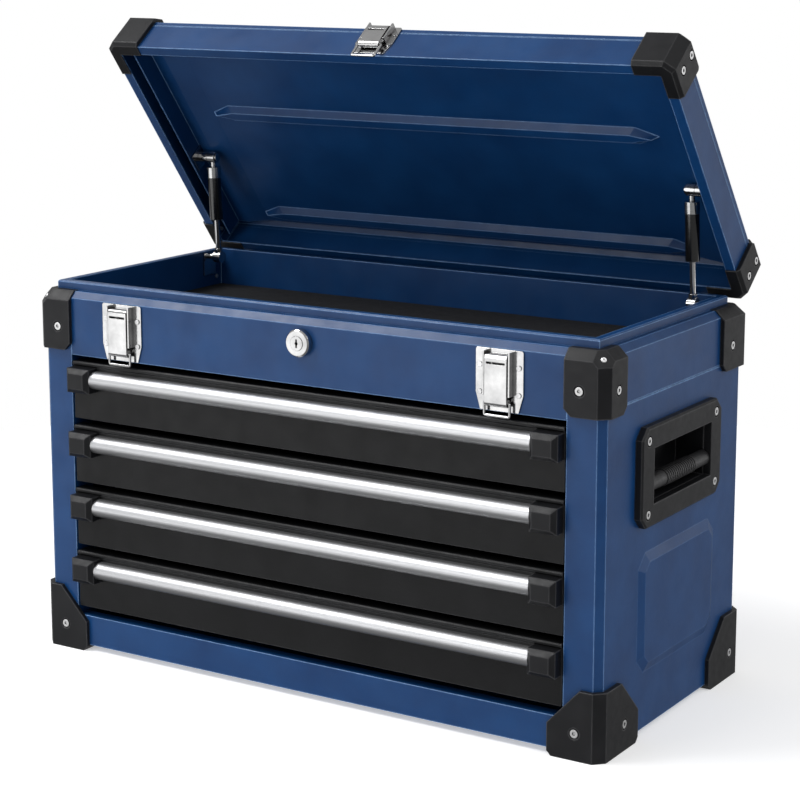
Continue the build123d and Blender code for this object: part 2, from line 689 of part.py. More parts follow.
def make_drawer(index):
    """One drawer: tray with its front, pull bar, the two end caps and the moving slide members."""
    bottom = drawer_bottom(index)
    top = bottom + DRAWER_FRONT_HEIGHT
    front_half = POST_INNER - DRAWER_SIDE_GAP
    tray_half = POST_INNER - SLIDE_WIDTH
    tray_back = DEPTH - DRAWER_BACK_GAP
    face = DRAWER_RECESS
    tray_low = bottom + DRAWER_TRAY_LIFT
    number = index + 1

    with BuildPart() as drawer_tray:
        block(BODY, (-tray_half, tray_half), (face, tray_back), (tray_low, tray_low + DRAWER_TRAY_HEIGHT))
        block(BODY, (SHEET - tray_half, tray_half - SHEET), (face + SHEET, tray_back - SHEET),
              (tray_low + SHEET, FAR), Mode.SUBTRACT)
        block(BODY, (-front_half, front_half), (face, face + SHEET), (bottom, top))
        block(BODY, (-front_half, front_half), (face, face + DRAWER_RETURN), (top - SHEET, top))
        block(BODY, (-front_half, front_half), (face, face + DRAWER_SIDE_RETURN), (bottom, bottom + SHEET))
        for side in (-1, 1):
            x = sorted((side * front_half, side * (front_half - SHEET)))
            block(BODY, x, (face, face + DRAWER_SIDE_RETURN), (bottom, top))
        slope = LIP_PROUD / 2
        lip = [(face, top - LIP_TALL - slope), (face - LIP_PROUD, top - LIP_TALL + slope),
               (face - LIP_PROUD, top - slope), (face - LIP_PROUD + slope, top), (face + SHEET, top),
               (face + SHEET, top - LIP_TALL)]
        prism(from_side(BODY), lip, -front_half, front_half)
    drawer_tray.part.label = f"drawer_{number}_tray"
    export_step(drawer_tray.part, f"parts/drawer_{number}_tray.step")

    bar_half = front_half - CAP_LENGTH
    bar_top = top - BAR_DROP
    bar_low = bar_top - BAR_TALL
    round_start = face - BAR_PROUD + BAR_TALL / 2
    with BuildPart() as drawer_bar:
        with BuildSketch(from_side(BODY).offset(-bar_half)):
            with BuildLine():
                Polyline((round_start, bar_low), (face, bar_low), (face, bar_top), (round_start, bar_top))
                nose = (face - BAR_PROUD, (bar_top + bar_low) / 2)
                ThreePointArc((round_start, bar_top), nose, (round_start, bar_low))
            make_face()
        extrude(amount=2 * bar_half)
    drawer_bar.part.label = f"drawer_{number}_bar"
    export_step(drawer_bar.part, f"parts/drawer_{number}_bar.step")

    cap_top = top - CAP_DROP
    with BuildPart() as drawer_caps:
        block(BODY, (bar_half, front_half - SEAM), (face - CAP_PROUD, face), (cap_top - CAP_TALL, cap_top))
        chamfer(drawer_caps.faces().sort_by(Axis.Y)[0].edges(), CAP_CHAMFER)
        mirror(about=Plane.YZ)
    drawer_caps.part.label = f"drawer_{number}_caps"
    export_step(drawer_caps.part, f"parts/drawer_{number}_caps.step")

    moving_tall = SLIDE_HEIGHT - 2 * SHEET - 2 * SLIDE_GAP
    with BuildPart() as drawer_slides:
        channel(tray_half, tray_half + SLIDE_FLANGE, slide_centre(index), moving_tall,
                (face + DRAWER_RETURN, tray_back))
        mirror(about=Plane.YZ)
    drawer_slides.part.label = f"drawer_{number}_slides"
    export_step(drawer_slides.part, f"parts/drawer_{number}_slides.step")


# Latches and the lid catch share one pattern: base plate with cheeks and pin, lever, bail.
LATCH_LOW = BAY_TOP + LATCH_MARGIN
LATCH_TOP = SHOULDER_Z - LATCH_MARGIN


def rivet_sites(centre, top, drops, spread):
    """Four rivets: two either side of the lever."""
    return [(centre + side * spread, top - drop) for side in (-1, 1) for drop in drops]


def latch_rivet_sites():
    right = rivet_sites(LATCH_X, LATCH_TOP, LATCH_RIVET_DROPS, LATCH_RIVET_X)
    return right + [(-x, z) for x, z in right]


def pin_height(top):
    return top - LEVER_PIN_DROP


def latch_base(view, face, centre, low, top, half, foot_half, rivets):
    """The riveted plate, its two cheeks and the pin between them."""
    taper_z = low + LATCH_TAPER
    outline = [
        (centre - half + SHEET, top), (centre - half, top - SHEET), (centre - half, taper_z),
        (centre - foot_half, low), (centre + foot_half, low), (centre + half, taper_z),
        (centre + half, top - SHEET), (centre + half - SHEET, top),
    ]
    prism(view, outline, face, face + SHEET)
    lower = low + CHEEK_LIFT
    for side in (-1, 1):
        x = sorted((centre + side * CHEEK_INNER, centre + side * (CHEEK_INNER + CHEEK_SHEET)))
        block(view, x, (lower, top - SHEET), (face + SHEET / 2, face + CHEEK_PROUD))
    across = from_side(Plane(origin=view.origin, x_dir=view.x_dir, z_dir=view.y_dir))
    pin = [(-(face + LEVER_PIN_PROUD), pin_height(top))]
    discs(across, pin, LEVER_PIN, centre - CHEEK_INNER - SHEET, centre + CHEEK_INNER + SHEET)
    discs(view, rivets, RIVET_SHANK + SCREW_CLEARANCE, face - SHEET, face + 2 * SHEET, Mode.SUBTRACT)


def lever_piece(view, face, centre, low, top):
    """The lever: a knuckle round the pin, a flat sheet, and a curl that holds the bail."""
    across = from_side(Plane(origin=view.origin, x_dir=view.x_dir, z_dir=view.y_dir))
    pin = (-(face + LEVER_PIN_PROUD), pin_height(top))
    curl = (-(face + LEVER_PIN_PROUD), low + CURL_LIFT)
    start, end = centre - LEVER_HALF, centre + LEVER_HALF
    discs(across, [pin], LEVER_KNUCKLE, start, end)
    discs(across, [curl], CURL, start, end)
    sheet_y = (-(face + LEVER_PROUD), -(face + LEVER_PROUD - LEVER_SHEET))
    block(across, sheet_y, (curl[1], pin[1]), (start, end))
    slot_top = pin[1] - LEVER_KNUCKLE
    slot = (slot_top - LEVER_SLOT, slot_top)
    block(across, sheet_y, slot, (start + LEVER_ARM, end - LEVER_ARM), Mode.SUBTRACT)
    discs(across, [pin], LEVER_PIN + RUNNING_FIT, start, end, Mode.SUBTRACT)
    discs(across, [curl], BAIL_WIRE + BAIL_CLEARANCE, start, end, Mode.SUBTRACT)


def bail(view, face, centre, low, leg):
    """The wire loop, bent at its four corners: its upper side runs through the curl."""
    upper = low + CURL_LIFT
    lower = upper - leg
    half = LEVER_HALF + BAIL_WIRE + BAIL_GAP
    level = view.offset(face + LEVER_PIN_PROUD)
    corners = [(centre + half, upper), (centre + half, lower), (centre - half, lower), (centre - half, upper)]
    with BuildLine(level) as loop:
        FilletPolyline(*corners, radius=BAIL_WIRE + BAIL_GAP, close=True)
    start = level.from_local_coords((centre, upper, 0))
    with BuildSketch(Plane(origin=start, z_dir=view.x_dir)) as wire:
        Circle(BAIL_WIRE)
    sweep(wire.sketch, path=loop.wire())


def make_latches():
    view = from_front(BODY)
    with BuildPart() as latch_plates:
        latch_base(view, 0, LATCH_X, LATCH_LOW, LATCH_TOP, LATCH_HALF, LATCH_FOOT_HALF, latch_rivet_sites())
        mirror(about=Plane.YZ)
    latch_plates.part.label = "latch_plates"
    export_step(latch_plates.part, "parts/latch_plates.step")

    with BuildPart() as right_latch_lever:
        lever_piece(view, 0, LATCH_X, LATCH_LOW, LATCH_TOP)
    with BuildPart() as right_latch_bail:
        bail(view, 0, LATCH_X, LATCH_LOW, BAIL_LEG)
    for piece, kind in ((right_latch_lever, "lever"), (right_latch_bail, "bail")):
        with BuildPart() as left_piece:
            mirror(piece.part, about=Plane.YZ)
        piece.part.label = f"right_latch_{kind}"
        export_step(piece.part, f"parts/right_latch_{kind}.step")
        left_piece.part.label = f"left_latch_{kind}"
        export_step(left_piece.part, f"parts/left_latch_{kind}.step")


def make_rivets():
    """Latch rivets on the front panel and the small rivets inside the top compartment."""
    wall = HALF - NECK_INNER
    with BuildPart() as body_rivets:
        discs(from_front(BODY), latch_rivet_sites(), RIVET_HEAD, SHEET, SHEET + RIVET_DOME)
        discs(from_front(BODY), latch_rivet_sites(), RIVET_SHANK, -SHEET, SHEET + RIVET_DOME / 2)
        for side in (-1, 1):
            reach = sorted((side * wall, side * (wall - RIVET_DOME)))
            discs(from_side(BODY), INNER_RIVETS, RIVET_HEAD, *reach)
            shank = sorted((side * (wall + SHEET), side * (wall - RIVET_DOME / 2)))
            discs(from_side(BODY), INNER_RIVETS, RIVET_SHANK, *shank)
    body_rivets.part.label = "body_rivets"
    export_step(body_rivets.part, "parts/body_rivets.step")


# Lock
def make_lock():
    view = from_front(BODY)
    centre = [(0, BASE + LOCK_Z)]
    bore = PLUG + RUNNING_FIT
    with BuildPart() as lock_barrel:
        discs(view, centre, LOCK_RING, 0, LOCK_PROUD)
        chamfer(lock_barrel.faces().sort_by(Axis.Y)[0].edges(), SHEET)
        discs(view, centre, LOCK_BODY, -LOCK_LENGTH, 0)
        with BuildSketch(view.offset(-SHEET)) as nut:
            with Locations(*centre):
                RegularPolygon(LOCK_NUT, 6)
        extrude(nut.sketch, amount=-LOCK_NUT_DEPTH)
        discs(view, centre, bore, -LOCK_LENGTH, LOCK_PROUD, Mode.SUBTRACT)
    lock_barrel.part.label = "lock_barrel"
    export_step(lock_barrel.part, "parts/lock_barrel.step")

    cam_back = -LOCK_LENGTH - CAM_SHEET - SLIDE_GAP
    with BuildPart() as lock_cylinder:
        discs(view, centre, PLUG, cam_back, LOCK_PROUD + PLUG_PROUD)
        key_z = (BASE + LOCK_Z - KEYWAY_TALL / 2, BASE + LOCK_Z + KEYWAY_TALL / 2)
        deep = (LOCK_PROUD - LOCK_RING / 2, FAR)
        block(view, (-KEYWAY / 2, KEYWAY / 2), key_z, deep, Mode.SUBTRACT)
        discs(view, centre, KEYWAY, *deep, Mode.SUBTRACT)
        cam_z = (BASE + LOCK_Z - CAM_HALF, BASE + LOCK_Z + CAM_HALF)
        block(view, (0, CAM_LENGTH), cam_z, (cam_back, cam_back + CAM_SHEET))
    lock_cylinder.part.label = "lock_cylinder"
    export_step(lock_cylinder.part, "parts/lock_cylinder.step")


# Hinge
def knuckle_spans(first):
    """Where one leaf's knuckles lie along the pin: every second one."""
    pitch = HINGE_LENGTH / KNUCKLES
    starts = [-HINGE_LENGTH / 2 + pitch * k for k in range(first, KNUCKLES, 2)]
    return [(start + KNUCKLE_GAP / 2, start + pitch - KNUCKLE_GAP / 2) for start in starts]


def hinge_leaf(plane, axis_y, axis_z, direction, first):
    """A leaf on the outside of the back, with its share of the knuckles; direction is up or down."""
    wall = axis_y - KNUCKLE - HINGE_GAP
    side = from_side(plane)
    edge = axis_z + direction * KNUCKLE
    length = (-HINGE_LENGTH / 2, HINGE_LENGTH / 2)
    block(plane, length, (wall, wall + SHEET), sorted((edge, edge + direction * HINGE_LEAF)))
    for span in knuckle_spans(first):
        web = sorted((edge - direction * 2 * SHEET, edge + direction * SHEET))
        block(plane, span, (wall, wall + SHEET), web)
        discs(side, [(axis_y, axis_z)], KNUCKLE, *span)
    discs(side, [(axis_y, axis_z)], HINGE_PIN + RUNNING_FIT, *length, Mode.SUBTRACT)


def make_hinge():
    with BuildPart() as hinge_body_leaf:
        hinge_leaf(BODY, HINGE_Y, HINGE_Z, -1, 0)
    hinge_body_leaf.part.label = "hinge_body_leaf"
    export_step(hinge_body_leaf.part, "parts/hinge_body_leaf.step")
    with BuildPart() as hinge_lid_leaf:
        hinge_leaf(LID, 0, 0, 1, 1)
    hinge_lid_leaf.part.label = "hinge_lid_leaf"
    export_step(hinge_lid_leaf.part, "parts/hinge_lid_leaf.step")
    with BuildPart() as hinge_pin:
        discs(from_side(BODY), [(HINGE_Y, HINGE_Z)], HINGE_PIN, -HINGE_LENGTH / 2, HINGE_LENGTH / 2)
    hinge_pin.part.label = "hinge_pin"
    export_step(hinge_pin.part, "parts/hinge_pin.step")


# Lid
def make_lid_shell():
    """The lid: top, four walls and the lip folded in under them."""
    with BuildPart() as lid_shell:
        cabinet_block(LID, LID_FRONT, 0, 0, LID_HEIGHT, LID_BEVEL)
        cabinet_block(LID, LID_FRONT, SHEET, SHEET, LID_HEIGHT - SHEET, LID_BEVEL, Mode.SUBTRACT)
        cabinet_block(LID, LID_FRONT, LIP_WIDTH, 0, SHEET, 0, Mode.SUBTRACT)
        seam_z = LID_HEIGHT - LID_SEAM_DROP
        seam = outline_at(LID, LID_FRONT, -SEAM, seam_z)
        core = outline_at(LID, LID_FRONT, SEAM, seam_z)
        extrude(seam - core, amount=SEAM, mode=Mode.SUBTRACT)
        discs(from_side(LID), LID_SCREWS, SCREW_SHANK + SCREW_CLEARANCE, -FAR, FAR, Mode.SUBTRACT)
        hole = RIVET_SHANK + SCREW_CLEARANCE
        through = (-LID_FRONT - 2 * SHEET, -LID_FRONT + SHEET)
        discs(from_front(LID), catch_rivet_sites(), hole, *through, Mode.SUBTRACT)
    lid_shell.part.label = "lid_shell"
    export_step(lid_shell.part, "parts/lid_shell.step")


def lid_rib(back):
    """A pressed rib across the inner panel, with tapered ends."""
    under = LID_HEIGHT - SHEET - PANEL_DROP - SHEET
    half = HALF - PANEL_FLANGE_INSET - PANEL_SIDE
    centre = LID_REAR - back
    profiles = []
    for drop, shrink in ((0.0, 0.0), (RIB_RISE, RIB_SLOPE)):
        wide = RIB_WIDTH / 2 - shrink
        end = half - shrink
        shoulder = end - RIB_TAPER
        with BuildSketch(LID.offset(under - drop)) as rib:
            with BuildLine():
                Polyline(
                    (end, centre), (shoulder, centre + wide), (-shoulder, centre + wide), (-end, centre),
                    (-shoulder, centre - wide), (shoulder, centre - wide), close=True,
                )
            make_face()
        profiles.append(rib.sketch)
    loft(profiles)


def make_lid_inner_panel():
    """The stiffening panel under the lid's top, stepped near each end and flanged at the ends."""
    flange = HALF - PANEL_FLANGE_INSET
    high = LID_HEIGHT - SHEET - PANEL_DROP
    step = high - PANEL_SIDE_STEP
    half = [(flange, step), (flange - PANEL_LEVEL, step), (flange - PANEL_SIDE, high)]
    upper = half + [(-x, z) for x, z in reversed(half)]
    lower = [(x, z - SHEET) for x, z in reversed(upper)]
    front_inner = -LID_FRONT - LIP_WIDTH - SHEET
    rear_inner = -LID_REAR + LIP_WIDTH + SHEET
    with BuildPart() as lid_inner_panel:
        prism(from_front(LID), upper + lower, rear_inner, front_inner)
        for x in ((flange - SHEET, flange), (-flange, SHEET - flange)):
            block(LID, x, (-front_inner, -rear_inner), (high - PANEL_FLANGE_DEPTH, step))
        for y in ((-front_inner, SHEET - front_inner), (-rear_inner - SHEET, -rear_inner)):
            block(LID, (-flange + PANEL_SIDE, flange - PANEL_SIDE), y, (high - SHEET, LID_HEIGHT - SHEET))
        lid_rib(MIDDLE_RIB_BACK)
        lid_rib(REAR_RIB_BACK)
    lid_inner_panel.part.label = "lid_inner_panel"
    export_step(lid_inner_panel.part, "parts/lid_inner_panel.step")


def lid_guard_outlines():
    reach = LID_GUARD_REACH
    clip = GUARD_CLIP
    front_outline = [(HALF - reach, -FAR), (FAR, -FAR), (FAR, FAR), (HALF - reach, FAR)]
    side_outline = [
        (-FAR, -FAR), (LID_FRONT + reach - clip, -FAR), (LID_FRONT + reach, clip),
        (LID_FRONT + reach, LID_HEIGHT - clip), (LID_FRONT + reach - clip, LID_HEIGHT),
        (LID_FRONT + reach - clip, FAR), (-FAR, FAR),
    ]
    return front_outline, side_outline


def lid_guard(front_outline, side_outline):
    """One right-hand guard of the lid: it wraps the corner, the top and the lip."""
    with BuildPart() as guard:
        foot_top = LID_FOOT_BEVEL - GUARD_FOOT
        cabinet_block(LID, LID_FRONT, -GUARD, foot_top, LID_GUARD_TOP, GUARD_BEVEL)
        extrude(outline_at(LID, LID_FRONT, -GUARD, foot_top), amount=-LID_FOOT_BEVEL, taper=45)
        cabinet_block(LID, LID_FRONT, 0, 0, LID_HEIGHT, LID_BEVEL, Mode.SUBTRACT)
        cabinet_block(LID, LID_FRONT, LIP_WIDTH, -GUARD, 0, 0, Mode.SUBTRACT)
        add(guard_corner(LID, front_outline, side_outline), mode=Mode.INTERSECT)
        screw_holes(from_side(LID), LID_SCREWS, HALF + GUARD, True)
    return guard.part


def make_lid_guards():
    front_outline, side_outline = lid_guard_outlines()
    rear_outline = mirrored_in_depth(side_outline, LID_FRONT)
    with BuildPart() as lid_front_guards:
        add(lid_guard(front_outline, side_outline))
        mirror(about=Plane.YZ)
    lid_front_guards.part.label = "lid_front_guards"
    export_step(lid_front_guards.part, "parts/lid_front_guards.step")
    with BuildPart() as lid_rear_guards:
        add(lid_guard(front_outline, rear_outline))
        mirror(about=Plane.YZ)
    lid_rear_guards.part.label = "lid_rear_guards"
    export_step(lid_rear_guards.part, "parts/lid_rear_guards.step")


def make_lid_screws():
    with BuildPart() as lid_screws:
        screws(from_side(LID), LID_SCREWS, HALF + GUARD - SCREW_HEAD_DEPTH)
        mirror(about=Plane.YZ)
    lid_screws.part.label = "lid_screws"
    export_step(lid_screws.part, "parts/lid_screws.step")


def catch_rivet_sites():
    return rivet_sites(0, CATCH_TOP, CATCH_RIVET_DROPS, CATCH_RIVET_X)


def make_catch():
    """The spring catch at the middle of the lid's front wall."""
    view = from_front(LID)
    face = -LID_FRONT
    with BuildPart() as catch_plate:
        latch_base(view, face, 0, CATCH_LOW, CATCH_TOP, CATCH_HALF, CATCH_FOOT_HALF, catch_rivet_sites())
        discs(view, catch_rivet_sites(), RIVET_HEAD, face + SHEET, face + SHEET + RIVET_DOME)
        discs(view, catch_rivet_sites(), RIVET_SHANK, face - SHEET, face + SHEET + RIVET_DOME / 2)
    catch_plate.part.label = "catch_plate"
    export_step(catch_plate.part, "parts/catch_plate.step")
    with BuildPart() as catch_lever:
        lever_piece(view, face, 0, CATCH_LOW, CATCH_TOP)
    catch_lever.part.label = "catch_lever"
    export_step(catch_lever.part, "parts/catch_lever.step")
    with BuildPart() as catch_bail:
        bail(view, face, 0, CATCH_LOW, CATCH_BAIL_LEG)
    catch_bail.part.label = "catch_bail"
    export_step(catch_bail.part, "parts/catch_bail.step")


# Gas struts: one on each side, from a stud on the rim to a stud in the lid.
BODY_PIVOT = (HINGE_Y - BODY_PIVOT_REACH, HINGE_Z + BODY_PIVOT_RISE)
LID_PIVOT = (-LID_PIVOT_REACH, LID_PIVOT_RISE)
OPEN_PIVOT = (
    HINGE_Y + LID_PIVOT[0] * cos(TILT) + LID_PIVOT[1] * sin(TILT),
    HINGE_Z - LID_PIVOT[0] * sin(TILT) + LID_PIVOT[1] * cos(TILT),
)
OPEN_VECTOR = (OPEN_PIVOT[0] - BODY_PIVOT[0], OPEN_PIVOT[1] - BODY_PIVOT[1])
CLOSED_VECTOR = (BODY_PIVOT_REACH - LID_PIVOT_REACH, LID_PIVOT_RISE - BODY_PIVOT_RISE)
OPEN_LENGTH = hypot(*OPEN_VECTOR)
CLOSED_LENGTH = hypot(*CLOSED_VECTOR)
STRUT_STROKE = OPEN_LENGTH - CLOSED_LENGTH
STRUT = Plane(
    origin=(STRUT_X, FRONT + BODY_PIVOT[0], BODY_PIVOT[1]), x_dir=(1, 0, 0),
    z_dir=(0, OPEN_VECTOR[0], OPEN_VECTOR[1]),
)
COLLAR_TOP = OPEN_LENGTH - TOP_FITTING
TUBE_TOP = COLLAR_TOP - COLLAR_LENGTH
TUBE_LOW = FOOT_FITTING + STRUT_STROKE + SLIDE_GAP


def write_handed(piece, name):
    """Write a right-hand piece and its left-hand mirror."""
    with BuildPart() as left_piece:
        mirror(piece.part, about=Plane.YZ)
    piece.part.label = f"right_{name}"
    export_step(piece.part, f"parts/right_{name}.step")
    left_piece.part.label = f"left_{name}"
    export_step(left_piece.part, f"parts/left_{name}.step")


def make_struts():
    side = from_side(BODY)
    bore = STRUT_ROD + TUBE_BORE_GAP
    with BuildPart() as strut_tube:
        discs(STRUT, [(0, 0)], TUBE_RADIUS, TUBE_LOW, TUBE_TOP)
        discs(STRUT, [(0, 0)], bore, TUBE_LOW, TUBE_TOP - SHEET, Mode.SUBTRACT)
    write_handed(strut_tube, "strut_tube")

    with BuildPart() as strut_collar:
        discs(STRUT, [(0, 0)], COLLAR_RADIUS, TUBE_TOP, COLLAR_TOP)
        discs(STRUT, [(0, 0)], STUD, COLLAR_TOP, OPEN_LENGTH - EYE / 2)
        discs(side, [OPEN_PIVOT], EYE, STRUT_X - EYE_HALF, STRUT_X + EYE_HALF)
        discs(side, [OPEN_PIVOT], STUD + RUNNING_FIT, STRUT_X - EYE_HALF, STRUT_X + EYE_HALF, Mode.SUBTRACT)
    write_handed(strut_collar, "strut_collar")

    with BuildPart() as strut_rod:
        discs(STRUT, [(0, 0)], STRUT_ROD, 0, TUBE_LOW + FOOT_FITTING)
        discs(STRUT, [(0, 0)], EYE / 2 + STUD / 2, 0, FOOT_FITTING)
        discs(side, [BODY_PIVOT], BALL, STRUT_X - EYE_HALF, STRUT_X + EYE_HALF)
    write_handed(strut_rod, "strut_rod")


def make_strut_brackets():
    """The studs: on the rim of the compartment, and on the flanges of the lid's inner panel."""
    side = from_side(BODY)
    lid_side = from_side(LID)
    wall = HALF - NECK_INNER
    y, z = BODY_PIVOT
    with BuildPart() as body_strut_brackets:
        foot = (z - 2 * BRACKET_HALF, NECK_TOP - SHEET)
        block(side, (y - BRACKET_HALF, y + BRACKET_HALF), foot, (wall - BRACKET_SHEET, wall))
        discs(side, [(y, z)], STUD, STRUT_X + EYE_HALF + STUD_GAP, wall)
        mirror(about=Plane.YZ)
    body_strut_brackets.part.label = "body_strut_brackets"
    export_step(body_strut_brackets.part, "parts/body_strut_brackets.step")

    flange = HALF - PANEL_FLANGE_INSET - SHEET
    y, z = LID_PIVOT
    with BuildPart() as lid_strut_brackets:
        foot = (z - 2 * BALL, z + BALL)
        block(lid_side, (y - BRACKET_HALF, y + BRACKET_HALF), foot, (flange - BRACKET_SHEET, flange))
        discs(lid_side, [(y, z)], STUD, STRUT_X - EYE_HALF, flange)
        discs(lid_side, [(y, z)], EYE, STRUT_X + EYE_HALF + STUD_GAP, flange)
        clip = STRUT_X - EYE_HALF - STUD_GAP
        discs(lid_side, [(y, z)], EYE - SHEET, clip - SHEET, clip)
        discs(lid_side, [(y, z)], STUD, clip - SHEET / 2, STRUT_X)
        mirror(about=Plane.YZ)
    lid_strut_brackets.part.label = "lid_strut_brackets"
    export_step(lid_strut_brackets.part, "parts/lid_strut_brackets.step")


def main():
    make_side_panels()
    make_back_panel()
    make_front_top_panel()
    make_bottom_pan()
    make_rim_frame()
    make_tray_floor()
    make_foam_mat()
    make_top_guards()
    make_bottom_guards()
    make_body_screws()
    make_handle_frames()
    make_handle_cups()
    make_handle_grips()
    make_cabinet_slides()
    for index in range(DRAWERS):
        make_drawer(index)
    make_latches()
    make_rivets()
    make_lock()
    make_hinge()
    make_lid_shell()
    make_lid_inner_panel()
    make_lid_guards()
    make_lid_screws()
    make_catch()
    make_struts()
    make_strut_brackets()


if __name__ == "__main__":
    main()
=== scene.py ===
import bpy
import math
from mathutils import Euler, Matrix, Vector


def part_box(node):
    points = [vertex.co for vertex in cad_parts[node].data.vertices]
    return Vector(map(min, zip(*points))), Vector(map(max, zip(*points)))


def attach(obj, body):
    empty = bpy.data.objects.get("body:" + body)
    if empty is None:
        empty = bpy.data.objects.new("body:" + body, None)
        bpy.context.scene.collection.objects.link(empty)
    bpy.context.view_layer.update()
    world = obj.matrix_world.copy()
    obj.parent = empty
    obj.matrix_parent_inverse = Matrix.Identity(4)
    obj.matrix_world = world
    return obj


# Portable tool box: finishes, facet screws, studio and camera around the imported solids.
# Lengths are in metres throughout, and colours are linear.
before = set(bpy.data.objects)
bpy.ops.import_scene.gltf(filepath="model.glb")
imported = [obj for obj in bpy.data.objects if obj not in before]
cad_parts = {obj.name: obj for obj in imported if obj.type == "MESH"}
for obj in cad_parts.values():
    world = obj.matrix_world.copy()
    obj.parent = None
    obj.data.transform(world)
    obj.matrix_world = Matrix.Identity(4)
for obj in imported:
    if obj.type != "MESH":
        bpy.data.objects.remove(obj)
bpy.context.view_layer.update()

# Camera, measured from the photograph: place relative to the middle of the cabinet's front edge
CAMERA_X = 0.9909
CAMERA_Y = -1.4270
CAMERA_Z = 0.6358
CAMERA_YAW = 32.12
CAMERA_PITCH = 10.25
CAMERA_LENS = 97.8
CAMERA_SHIFT_Y = -0.1

# Floor and room: the room's levels of grey run from straight down, 0, to straight up, 1
FLOOR = (0.85, 0.85, 0.855, 1)
FLOOR_ROUGHNESS = 0.9
FLOOR_RADIUS = 1.0
FLOOR_SIDES = 96
FLOOR_GLOW = 0.42
WHITE = (1, 1, 1, 1)
ROOM_LEVELS = ((0.0, 0.2), (0.3, 0.26), (0.42, 0.4), (1.0, 0.5))

# Soft boxes: name, place, the point that each faces, width and height, watts
MIDDLE = (0, 0, 0.25)
LOW_MIDDLE = (0, 0, 0.2)
RIGHT_SIDE = (0.28, 0, 0.22)
LIGHTS = (
    ("key_light", (-1.3, -0.9, 2.2), MIDDLE, (1.3, 0.9), 41),
    ("front_light", (-0.9, -2.4, 0.9), MIDDLE, (0.9, 1.2), 10),
    ("side_light", (1.9, -0.3, 1.9), MIDDLE, (0.8, 1.0), 10),
    ("front_card", (-1.15, -2.1, -0.1), LOW_MIDDLE, (2.2, 1.0), 9),
    ("side_card", (1.7, 1.4, 0.35), RIGHT_SIDE, (0.9, 0.9), 5),
)

# Screw in the facet of each front top guard: half section from the middle outwards, radius and height
FACET_SCREW = ((0, 0.0001), (0.001, 0.0001), (0.001, 0.0007), (0.0018, 0.0007), (0.0023, 0.0003),
               (0.0023, -0.0005), (0, -0.0005))
FACET_SCREW_SIDES = 32
FACET_TOLERANCE = 0.0001

# Colours: the main one, the one that it clouds into, and the one of edges (rubbed wear and painted
# highlight) or the painted shade of gaps
BLUE = (0.006, 0.05, 0.165, 1)
BLUE_DEEP = (0.0035, 0.034, 0.122, 1)
# The edge colours are partly rubbed wear and partly painted highlight lines along rims and bevels.
BLUE_WORN_LIT_EDGE = (0.23, 0.4, 0.7, 1)
CHARCOAL = (0.005, 0.0052, 0.0058, 1)
CHARCOAL_LIGHT = (0.009, 0.0093, 0.0103, 1)
CHARCOAL_WORN_LIT_EDGE = (0.06, 0.061, 0.064, 1)
GLOSS_BLACK = (0.003, 0.003, 0.0034, 1)
PLASTIC = (0.0075, 0.0078, 0.0092, 1)
PLASTIC_LIGHT = (0.012, 0.0124, 0.0142, 1)
PLASTIC_WORN_LIT_EDGE = (0.08, 0.08, 0.084, 1)
RUBBER = (0.014, 0.014, 0.0155, 1)
RUBBER_LIGHT = (0.03, 0.03, 0.032, 1)
FOAM = (0.0065, 0.0068, 0.008, 1)
FOAM_LIGHT = (0.014, 0.0146, 0.0168, 1)
STEEL = (0.6, 0.6, 0.6, 1)
STEEL_DARK = (0.44, 0.44, 0.442, 1)
# Painted shade: the dark colour that plated steel takes in gaps and beside other pieces.
STEEL_GAP_SHADE = (0.05, 0.05, 0.052, 1)
SCREW = (0.85, 0.85, 0.86, 1)
ALUMINIUM = (0.58, 0.585, 0.6, 1)
ALUMINIUM_DARK = (0.5, 0.505, 0.52, 1)
ZINC = (0.42, 0.43, 0.45, 1)
ZINC_DARK = (0.3, 0.31, 0.32, 1)

# Rounding of the edges in the shading
PLAIN_ROUNDING = 0.0004
PAINT_ROUNDING = 0.0014
PLASTIC_ROUNDING = 0.0016
ROUNDING_SAMPLES = 6

# Noises: scale and detail. The middle of a noise's values, NOISE_SPAN, is spread over its effect.
NOISE_SPAN = (0.3, 0.7)
PAINT_CLOUDS = (22.0, 9.0)
PAINT_GLOSS = (60.0, 4.0)
PLASTIC_CLOUDS = (35.0, 3.0)
PLASTIC_GLOSS = (140.0, 4.0)
RUBBER_CLOUDS = (260.0, 3.0)
RUBBER_GLOSS = (300.0, 3.0)
FOAM_CLOUDS = (240.0, 5.0)
FOAM_GLOSS = (90.0, 3.0)
METAL_MARKS = (1.0, 5.0)
METAL_SMUDGES = (70.0, 5.0)
EDGE_WEAR_AND_HIGHLIGHT_NOISE = (160.0, 4.0)

# Grains: noise, depth and strength of each layer of bumps
PAINT_PEEL = (((420.0, 2.0), 0.00012, 0.5), ((1100.0, 2.0), 0.00005, 0.4))
PLASTIC_GRAIN = (((1500.0, 2.0), 0.00006, 0.55), ((3600.0, 2.0), 0.00003, 0.4))
RUBBER_GRAIN = (((2200.0, 3.0), 0.00006, 0.5),)
FOAM_GRAIN = (((1400.0, 4.0), 0.00025, 0.6),)
PLATED_GRAIN = (((500.0, 2.0), 0.00002, 0.3),)
FOAM_CELLS = 620.0
FOAM_CELL_BUMP = (0.0004, 0.6)
BRUSH_BUMP = (0.00002, 0.35)

# Scales of brushed marks along x, y and z: small along the marks, large across them
BAR_BRUSHING = (6.0, 2600.0, 2600.0)
SLIDE_BRUSHING = (900.0, 8.0, 900.0)

